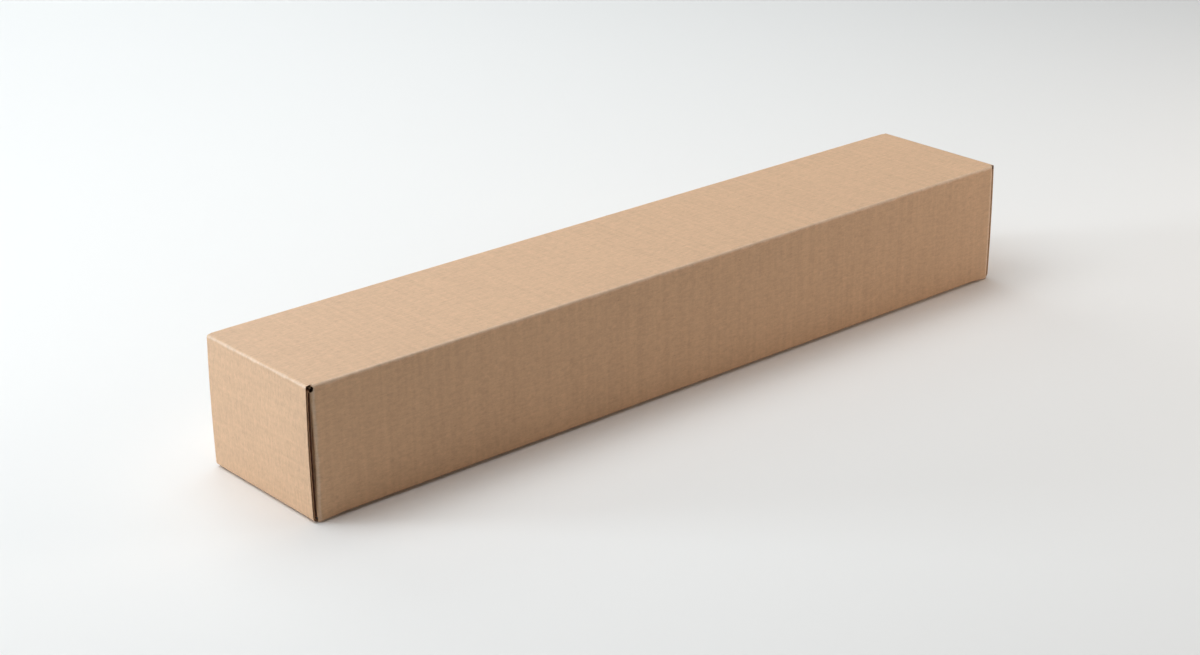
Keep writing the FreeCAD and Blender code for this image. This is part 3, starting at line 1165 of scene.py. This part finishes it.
@dataclass
class Sleeve(Part):
    """The four long panels, the glue lap and the four dust flaps."""

    dust_low: float = 8.17 * MM
    dust_high: float = 86.2 * MM
    dust_taper: float = 6.0 * MM
    dust_corner: float = 6.0 * MM
    dust_tip: float = 14.0 * MM
    dust_middle: float = 35.0 * MM
    dust_shoulder: float = 53.0 * MM
    beside_tuck: float = 49.6 * MM
    trim_side: float = 0.2 * MM
    trim_past: float = 5.0 * MM
    trim_depth: float = 3.6 * MM
    lap_root: float = 296.8 * MM
    lap_tip: float = 284.8 * MM
    lap_top: float = 33.0 * MM
    lap_middle: float = 10.0 * MM
    lap_start: float = 4.6 * MM
    seam_lift: float = 0.8 * MM
    squareness: float = 5.0
    dust_squareness: float = 3.0
    ridge_from: float = 0.3 * MM
    ridge_at: float = 1.2 * MM
    ridge_width: float = 0.15 * MM
    ridge_to: float = 3.4 * MM
    ridge_gap: float = 0.12 * MM
    ridge_split: float = 0.1 * MM
    swell: float = 1.15 * MM
    swell_level: float = 40.0 * MM
    swell_reach: float = 2.5 * MM
    lift: float = 1.7 * MM
    lift_reach: float = 12.0 * MM
    lift_level: float = 22.5 * MM
    lift_start: float = 5.0 * MM
    lift_middle: float = 15.0 * MM
    lift_full: float = 20.0 * MM
    level_cuts: tuple[float, ...] = (0.12, 0.25, 0.4, 0.6, 0.75, 0.88)
    lift_cuts: tuple[float, ...] = (0.6, 0.8, 1.0)
    sharp_from: float = 50.0

    def build(self) -> None:
        """Build the sleeve's board and the medium at its cut edges."""
        board = solid_copy("box_sleeve", "sleeve_board")
        self.crisp_folds(board)
        edges, hollows = [], []
        for end in End:
            hollows.append(self.panel_end(end))
            for face in Face:
                runs, outline = self.dust_flap(end, face)
                edges += runs
                hollows.append(outline)
        runs, outline = self.glue_lap()
        seam = self.seam()
        edges += [*runs, seam]
        hollows += [outline, seam]
        self.finish_board(board, "box_sleeve", "sleeve", self.sheet.sleeve,
                          [self.tongue_trim(end) for end in End], hollows, End, self.sharp_from)
        self.add_medium("sleeve_flutes", edges, "sleeve", self.sheet.sleeve)

    def crisp_folds(self, board: Object) -> None:
        """Draw the outside of the uncut board's folds out towards square, and lift its lower front edge.

        Args:
            board: The sleeve's board, not yet cut.
        """
        made = bmesh.new()
        made.from_mesh(board.data)
        size, ridge = self.size, self.ridge_at
        planes = [(end.value * (size.half_length - inset), 0)
                  for inset in (self.lift_middle, self.lift_full) for end in End]
        planes += [(share * size.height, 2) for share in self.level_cuts]
        planes += [(share * self.lift_reach - size.half_width, 1) for share in self.lift_cuts]
        planes += [(face.value * (size.fold_side + side), 1)
                   for face in Face for side in (self.ridge_from, ridge, ridge + self.ridge_width)]
        for distance, axis in planes:
            square = Vector((axis == 0, axis == 1, axis == 2))
            bmesh.ops.bisect_plane(made, geom=[*made.verts, *made.edges, *made.faces], dist=ON_PLANE,
                                   plane_co=square * distance, plane_no=square)
        for vertex in made.verts:
            lifted = self.lifted(vertex.co)
            vertex.co = self.drawn_out(vertex.co)
            vertex.co.z += lifted
        made.to_mesh(board.data)
        made.free()

    def drawn_out(self, point: Vector) -> Vector:
        """Return a point of the sleeve, moved towards the square corner if it is on a fold's outside.

        Args:
            point: A point of the sleeve.

        Returns:
            Where it goes.
        """
        size, radius, sheet = self.size, self.board.fold_radius, self.sheet
        side, top = abs(point.y) - size.fold_side, point.z > size.height / 2
        low_rise = radius - point.z if point.y < 0 else 0.0
        rise = point.z - size.fold_top if top else low_rise
        reach = sheet.dust_in + radius - sheet.inset(point)
        most = max(rise, reach)
        moved = point.copy()
        if side <= 0 or most <= 0:
            return moved
        power = self.squareness if rise > reach + CLOSE else self.dust_squareness
        spread = square_out(math.atan2(most, side), power)
        moved.y = math.copysign(min(size.fold_side + side * spread, size.half_width), point.y)
        if rise > most - CLOSE:
            risen = min(rise * spread, radius)
            moved.z = size.fold_top + risen if top else radius - risen
        if reach > most - CLOSE:
            inset = sheet.dust_in + radius - min(reach * spread, radius)
            swell = self.swelling(point, side) * share_of(reach / self.swell_reach)
            moved.x = sheet.back_out(point, inset - swell)
        return moved

    def lifted(self, point: Vector) -> float:
        """How far the lower front edge stands off the floor at a point of the sleeve, as the base bows.

        Args:
            point: A point of the sleeve.

        Returns:
            The distance that it is lifted.
        """
        near_front = share_of((self.lift_reach - self.size.half_width - point.y) / self.lift_reach)
        low = share_of(1 - point.z / self.lift_level)
        along = share_of((self.sheet.inset(point) - self.lift_start) / (self.lift_full - self.lift_start))
        return self.lift * near_front * (2 - near_front) * low * along

    def swelling(self, point: Vector, side: float) -> float:
        """How far the fold of a dust flap swells out beside the end flap, up to the back of that flap.

        Args:
            point: A point of the fold.
            side: Distance out from where the fold starts, across the box.

        Returns:
            The distance, towards the end of the box.
        """
        off_middle = point.z - self.size.height / 2
        most = self.swell * (1.0 if point.x > 0 else share_of((off_middle / self.swell_level) ** 2))
        if side > self.ridge_at + self.ridge_split:
            falling = (self.ridge_to - side) / (self.ridge_to - self.ridge_at - self.ridge_width)
            return most * share_of(falling)
        flap_back = self.sheet.flap_stands_in(point.z) + self.board.thickness
        room = max(self.sheet.dust_in - flap_back - self.ridge_gap, 0.0)
        rising = (side - self.ridge_from) / (self.ridge_at - self.ridge_from)
        return min(most, room) * share_of(rising)

    def tongue_trim(self, end: End) -> Mesh:
        """The block that takes off the top panel's end past its crease.

        Args:
            end: Which end of the box.

        Returns:
            The mesh to cut out.
        """
        size, half = self.size, FLAP_HALF + self.trim_side
        return block(size.at(end, -self.trim_past, -half, size.height - self.trim_depth),
                     size.at(end, size.crease_in, half, size.height + self.trim_past))

    def panel_end(self, end: End) -> CutEdge:
        """The top panel's end, from one long fold over to the other.

        Args:
            end: Which end of the box.

        Returns:
            The cut edge.
        """
        size = self.size
        bend = arc((size.fold_side, size.fold_top), self.board.middle_radius, 75, 90, 2)
        points = [size.at(end, size.crease_in, y, z) for y, z in [(-y, z) for y, z in bend] + bend[::-1]]
        return CutEdge.curved(f"{end.name.lower()}_panel_end", Cut.ALONG, points, Vector((-end.value, 0, 0)))

    def dust_flap(self, end: End, face: Face) -> tuple[list[CutEdge], CutEdge]:
        """Return a dust flap's cut edges, each on its own, and then its whole outline.

        Args:
            end: Which end of the box.
            face: Which long side of the box.

        Returns:
            The top, tip and foot edges, and the outline.
        """
        radius, corner, taper = self.dust_corner, self.dust_tip + self.dust_corner, self.dust_taper
        high, low = self.dust_high - taper, self.dust_low + taper
        slope = taper / (self.dust_shoulder - corner)
        start = (self.size.fold_side, self.dust_high - slope * (self.dust_shoulder - self.size.fold_side))
        tip = arc((corner, high - radius), radius, 90, 180, 8)
        tip += arc((corner, low + radius), radius, 180, 270, 8)
        foot = (self.beside_tuck, self.dust_low)
        middle_in = self.sheet.dust_in + self.board.thickness / 2
        flat = FlatBoard(f"{end.name}_{face.name}_dust".lower(),
                         lambda side, up: self.size.at(end, middle_in, face.value * side, up),
                         Vector((1, 0, 0)), (self.dust_middle, self.size.height / 2))
        edges = [flat.edge("top", Cut.ACROSS, [start, (corner, high)]), flat.edge("tip", Cut.ALONG, tip),
                 flat.edge("foot", Cut.ACROSS, [(corner, low), foot])]
        return edges, flat.edge("outline", Cut.ACROSS, [start, *tip, foot])

    def glue_lap(self) -> tuple[list[CutEdge], CutEdge]:
        """Return the glue lap's long edge and its two ends, each on its own, and then its whole outline.

        Returns:
            The three edges, and the outline.
        """
        y = self.size.half_width - 1.5 * self.board.thickness
        flat = FlatBoard("lap", lambda x, up: Vector((x, y, up)), Vector((0, 1, 0)), (0.0, self.lap_middle))
        path = [(-self.lap_root, self.lap_start), (-self.lap_tip, self.lap_top),
                (self.lap_tip, self.lap_top), (self.lap_root, self.lap_start)]
        edges = [flat.edge("top", Cut.ACROSS, path[1:3]), flat.edge("near", Cut.ALONG, path[:2]),
                 flat.edge("far", Cut.ALONG, path[2:])]
        return edges, flat.edge("outline", Cut.ACROSS, path)

    def seam(self) -> CutEdge:
        """The back panel's raw lower edge, beside the seam.

        Returns:
            The cut edge.
        """
        y = self.size.half_width - self.board.thickness / 2
        reach = self.size.half_length - self.sheet.dust_in - self.board.fold_radius
        flat = FlatBoard("seam", lambda x, up: Vector((x, y, up)), Vector((0, 1, 0)), (0.0, self.size.height))
        return flat.edge("edge", Cut.ACROSS, [(-reach, self.seam_lift), (reach, self.seam_lift)])


@dataclass
class EndFlap(Part):
    """One end flap with its tuck, and the crease that it swings on."""

    end: End
    tuck_half: float = 49.2 * MM
    tuck_corner: float = 12.0 * MM
    tuck_reach: float = 22.0 * MM
    tuck_root: float = 1.2 * MM
    tuck_middle: float = 8.0 * MM
    tuck_angle: float = math.radians(20.0)
    trim_past: float = 5.0 * MM
    trim_in: float = 8.0 * MM
    trim_half: float = 60.0 * MM
    trim_top: float = 95.0 * MM
    flap_steps: int = 24
    crease_steps: int = 24
    crease_recess: float = 3.2 * MM
    crease_lap: float = 0.1 * MM
    crushed_radius: float = 2.0 * MM
    crushed: float = 0.08
    lean: float = 0.23 * MM
    fold_lean: float = 0.85 * MM
    pinched: float = 0.12
    squareness: float = 4.5
    curl_radii: tuple[float, float] = (1.75 * MM, 1.05 * MM)
    curl_angles: tuple[float, float] = (84.0, 120.0)
    curl_gap: float = 0.05 * MM
    sharp_from: float = 35.0
    crease_sharp_from: float = 50.0

    @property
    def name(self) -> str:
        """The end's name, in small letters."""
        return self.end.name.lower()

    def at(self, inset: float, y: float, up: float) -> Vector:
        """Point at a distance in from this end, at a depth and a height."""
        return self.size.at(self.end, inset, y, up)

    def build(self) -> None:
        """Build the flap's board, its medium and its crease."""
        board = solid_copy(self.end.node, f"{self.name}_flap_board")
        sides = [self.side_edge(face) for face in Face]
        runs, outline = self.tuck()
        trim = block(self.at(-self.trim_past, -self.trim_half, self.size.fold_top),
                     self.at(self.trim_in, self.trim_half, self.trim_top))
        self.finish_board(board, self.end.node, self.end.body, self.sheet.flap, [trim],
                          [*sides, outline], [self.end], self.sharp_from)
        lips = [self.hole.lip(self.end, face) for face in Face]
        self.add_medium(f"{self.name}_flap_flutes", [*sides, *runs], self.end.body, self.sheet.flap, lips)
        self.crease()

    def side_edge(self, face: Face) -> CutEdge:
        """The flap's cut edge at its front or its back, from its top round the fold to its tuck.

        Args:
            face: Which long side of the box.

        Returns:
            The cut edge.
        """
        top, low, crease_in = self.size.fold_top, self.sheet.fold_up, self.size.crease_in
        levels = [top + (low - top) * step / self.flap_steps for step in range(self.flap_steps + 1)]
        line = [(self.sheet.flap_stands_in(up) + self.board.thickness / 2, up) for up in levels]
        line += arc((crease_in, low), self.board.middle_radius, 180, 270, 8)[1:]
        state = {"lean": [0.0] * len(line), "opening": self.pinched}
        if self.end is End.NEAR:
            turns = [max(math.degrees(math.atan2(low - up, crease_in - inset)) / 90, 0.0)
                     for inset, up in line]
            more = self.fold_lean - self.lean
            state = {"lean": [face.value * (self.lean + more * turn) for turn in turns]}
        return CutEdge.curved(f"{self.name}_flap_{face.name.lower()}", Cut.ACROSS,
                              [self.at(inset, face.value * FLAP_HALF, up) for inset, up in line],
                              Vector((0, -face.value, 0)), crushed=self.crushed, **state)

    def tuck(self) -> tuple[list[CutEdge], CutEdge]:
        """Return the tuck's two sides and its tip, each on its own, and then its whole outline.

        Returns:
            The front, back and tip edges, and the outline.
        """
        middle, slant, corner = self.board.middle_radius, self.tuck_angle, self.tuck_corner
        root_in = self.size.crease_in + middle * math.sin(slant)
        root_up = self.sheet.fold_up - middle * math.cos(slant)
        flat = FlatBoard(f"{self.name}_tuck",
                         lambda inset, y: self.at(inset, y, root_up + (inset - root_in) * math.tan(slant)),
                         Vector((self.end.value * math.sin(slant), 0, math.cos(slant))),
                         (self.tuck_middle, 0.0))
        tip = self.tuck_reach - self.board.thickness / 2 * math.sin(slant)
        path = [(self.size.crease_in + self.tuck_root, self.tuck_half),
                *arc((self.tuck_reach - corner, self.tuck_half - corner), corner, 90, 0, 8)]
        front, back = ([(min(inset, tip), face.value * y) for inset, y in path] for face in Face)
        edges = [flat.edge("front", Cut.ACROSS, front), flat.edge("back", Cut.ACROSS, back),
                 flat.edge("tip", Cut.ALONG, [front[-1], back[-1]])]
        return edges, flat.edge("outline", Cut.ACROSS, front + back[::-1])

    def crease(self) -> None:
        """Make the bent board between the top panel and the flap: two liners and a crushed medium."""
        board, inner, middle = self.board, self.board.inner_radius, self.crushed_radius
        short = FLAP_HALF - self.crease_recess
        shells = [self.shell(board.fold_radius, board.fold_radius - board.liner, (-FLAP_HALF, FLAP_HALF),
                             power=self.squareness),
                  self.shell(middle + board.medium / 2, middle - board.medium / 2, (-short, short)),
                  self.shell(inner + board.liner, inner, (-short, short))]
        for face in Face:
            sides = sorted((face.value * short, face.value * (FLAP_HALF - self.curl_gap)))
            shells.append(self.shell(*self.curl_radii, sides, self.curl_angles))
        piece = self.layered(shells)
        smooth(piece, self.crease_sharp_from)
        self.sheet.mark(piece, self.sheet.crease)
        start = self.at(self.size.crease_in, 0, self.size.fold_top + inner)
        stop = self.at(self.size.crease_in - inner, 0, self.size.fold_top)
        self.end.body
        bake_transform(piece)
        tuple(start)
        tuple(stop)
        report(piece)

    def shell(self, outer: float, inner: float, sides: Sequence[float],
              angles: tuple[float, float] = (90.0, 180.0), power: float = 2.0) -> Mesh:
        """Make one bent layer of the crease.

        Args:
            outer: Radius of its outside.
            inner: Radius of its inside.
            sides: Its limits across the box.
            angles: The angles that it starts and stops at, in degrees. From 90 it laps onto the panel.
            power: How far it is drawn out towards square, from 2 for round.

        Returns:
            A closed mesh.
        """
        centre_in, centre_up = self.size.crease_in, self.size.fold_top
        steps = max(3, round(self.crease_steps * (angles[1] - angles[0]) / 90))
        bend = [(square_out(math.atan2(up, back), power), back, up)
                for back, up in arc((0.0, 0.0), 1.0, *angles, steps)]
        profile = [(centre_in + radius * far * back, centre_up + radius * far * up)
                   for radius, way in ((outer, 1), (inner, -1)) for far, back, up in bend[::way]]
        if angles[0] == 90:
            start = centre_in + self.crease_lap
            profile = [(start, centre_up + outer), *profile, (start, centre_up + inner)]
        return tube([[self.at(inset, y, up) for inset, up in profile] for y in sides], "shell")

    def layered(self, shells: Sequence[Mesh]) -> Object:
        """Join the crease's layers into one piece with three finishes.

        Args:
            shells: The outer liner, the medium, the inner liner, and then scraps of liner.

        Returns:
            The piece. The outer liner's inside has the hollow's finish, which is painted shade.
        """
        made = bmesh.new()
        for number, shell in enumerate(shells):
            first = len(made.faces)
            made.from_mesh(shell)
            made.faces.ensure_lookup_table()
            for face in made.faces[first:]:
                # The outer liner's inside takes the hollow finish, a dark painted shade.
                face.material_index = 2 if number == 0 and self.faces_in(face) else int(number == 1)
        name = f"{self.name}_crease"
        mesh = mesh_of(made, name)
        for finish in (self.finishes.liner, self.finishes.medium, self.finishes.hollow):
            mesh.materials.append(finish)
        return new_object(name, mesh)

    def faces_in(self, face: bmesh.types.BMFace) -> bool:
        """Tell whether a face of the outer liner looks at the middle of the fold.

        Args:
            face: A face of the outer liner.

        Returns:
            Whether it looks at the middle.
        """
        to_middle = self.at(self.size.crease_in, 0, self.size.fold_top) - face.calc_center_median()
        to_middle.y = 0.0
        return abs(face.normal.y) < 0.5 and face.normal.dot(to_middle) > 0.5 * to_middle.length


# ---- Studio ----
@dataclass(frozen=True)
class SoftLight:
    """One square lamp with a soft edge, aimed at the box."""

    name: str
    place: Triple
    side: float
    power: float
    colour: Triple
    aim: Triple = (0.0, 0.0, 0.03)

    def build(self) -> None:
        """Make the lamp."""
        lamp = bpy.data.lights.new(self.name, "AREA")
        lamp.shape, lamp.size, lamp.energy, lamp.color = "SQUARE", self.side, self.power, self.colour
        made = new_object(self.name, lamp)
        made.location = self.place
        made.visible_camera = False
        made.rotation_euler = (Vector(self.aim) - Vector(self.place)).to_track_quat("-Z", "Y").to_euler()


@dataclass(frozen=True)
class Studio:
    """Floor, lamps, surroundings and camera."""

    floor: Triple = (0.868, 0.829, 0.783)
    floor_roughness: float = 0.9
    floor_gloss: float = 0.2
    floor_half: float = 8.0
    floor_patches: float = 1.5
    floor_tones: tuple[float, float] = (0.995, 1.005)
    lamps: tuple[SoftLight, ...] = (
        SoftLight("top_light", (0.0, 0.0, 2.2), 1.6, 12.8, (0.88, 0.943, 1.0)),
        SoftLight("side_light", (-0.5, 0.45, 2.2), 1.6, 8.8, (0.90, 0.95, 1.0)),
        SoftLight("high_light", (1.0, 0.9, 2.2), 1.6, 14.6, (0.87, 0.938, 1.0)),
        SoftLight("key_light", (-0.8, 0.5, 1.3), 0.9, 6.9, (0.89, 0.95, 1.0)),
        SoftLight("near_light", (-0.9, 0.3, 1.6), 1.2, 5.3, (0.90, 0.95, 1.0)),
        SoftLight("end_light", (-2.4, 1.8, 0.40), 0.7, 67.0, (0.775, 0.89, 1.0)),
        SoftLight("back_light", (0.3, 1.8, 1.0), 1.2, 10.2, (0.84, 0.935, 1.0)),
        SoftLight("front_light", (1.1, -0.8, 0.4), 0.6, 5.7, (1.0, 0.87, 0.76)),
    )
    surroundings: float = 0.77
    camera_place: Triple = (-0.9882, -1.1026, 0.62695)
    camera_forward: Triple = (0.60618, 0.70096, -0.37561)
    camera_roll: float = math.radians(-0.50)
    camera_lens: float = 69.20
    camera_sensor: float = 36.0
    camera_range: tuple[float, float] = (0.05, 50.0)

    def build(self) -> None:
        """Make everything round the box."""
        self.build_floor()
        for lamp in self.lamps:
            lamp.build()
        self.build_surroundings()
        self.build_camera()

    def build_floor(self) -> None:
        """Make the plain pale floor that the box stands on."""
        material = bpy.data.materials.new("studio_floor")
        build = Tree.of(material)
        patches = build.noise(build.node("ShaderNodeTexCoord")["Object"], self.floor_patches)
        tone = build.ramp(patches, 0.3, 0.7, *self.floor_tones)
        shader = build.add("ShaderNodeBsdfPrincipled", {
            "Base Color": build.vector("SCALE", self.floor, Scale=tone), "Roughness": self.floor_roughness,
            "Specular IOR Level": self.floor_gloss})
        build.node("ShaderNodeOutputMaterial", {"Surface": shader})
        mesh, half = bpy.data.meshes.new("studio_floor"), self.floor_half
        mesh.from_pydata([(-half, -half, 0), (half, -half, 0), (half, half, 0), (-half, half, 0)], [],
                         [(0, 1, 2, 3)])
        mesh.materials.append(material)
        new_object("studio_floor", mesh)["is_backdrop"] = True

    def build_surroundings(self) -> None:
        """Make the pale surroundings that show behind the box and in its gloss."""
        world = bpy.data.worlds.new("surroundings")
        build = Tree.of(world)
        path = build.node("ShaderNodeLightPath")
        seen = build.math("MAXIMUM", path["Is Camera Ray"],
                          build.math("MAXIMUM", path["Is Glossy Ray"], path["Is Transmission Ray"]))
        light = build.add("ShaderNodeBackground", {"Color": (1.0, 1.0, 1.0, 1.0),
                                                   "Strength": seen * self.surroundings})
        build.node("ShaderNodeOutputWorld", {"Surface": light})
        bpy.context.scene.world = world

    def build_camera(self) -> None:
        """Make the camera and choose it for the scene."""
        data = bpy.data.cameras.new("camera")
        data.sensor_fit, data.sensor_width = "HORIZONTAL", self.camera_sensor
        data.lens = self.camera_lens
        data.clip_start, data.clip_end = self.camera_range
        camera = new_object("camera", data)
        turn = Vector(self.camera_forward).to_track_quat("-Z", "Y").to_matrix().to_4x4()
        roll = Matrix.Rotation(self.camera_roll, 4, "Z")
        camera.matrix_world = Matrix.Translation(self.camera_place) @ turn @ roll
        bpy.context.scene.camera = camera


def main() -> None:
    """Build the box and its studio."""
    logging.basicConfig(level=logging.INFO, format="%(name)s: %(message)s")
    for thing in [*bpy.data.objects]:
        if thing.name in ("Cube", "Light", "Camera"):
            bpy.data.objects.remove(thing)
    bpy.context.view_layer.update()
    board = Board()
    size = BoxSize.from_frame(board)
    log.info("box: %s", size)
    kit = (board, size, Finishes.make(board, size), FlutedMedium(board), Unrolled(size, board),
           CornerHole(size))
    Sleeve(*kit).build()
    for end in End:
        EndFlap(*kit, end).build()
    Studio().build()
    bpy.context.scene.view_settings.view_transform = "Standard"


if __name__ == "__main__":
    main()
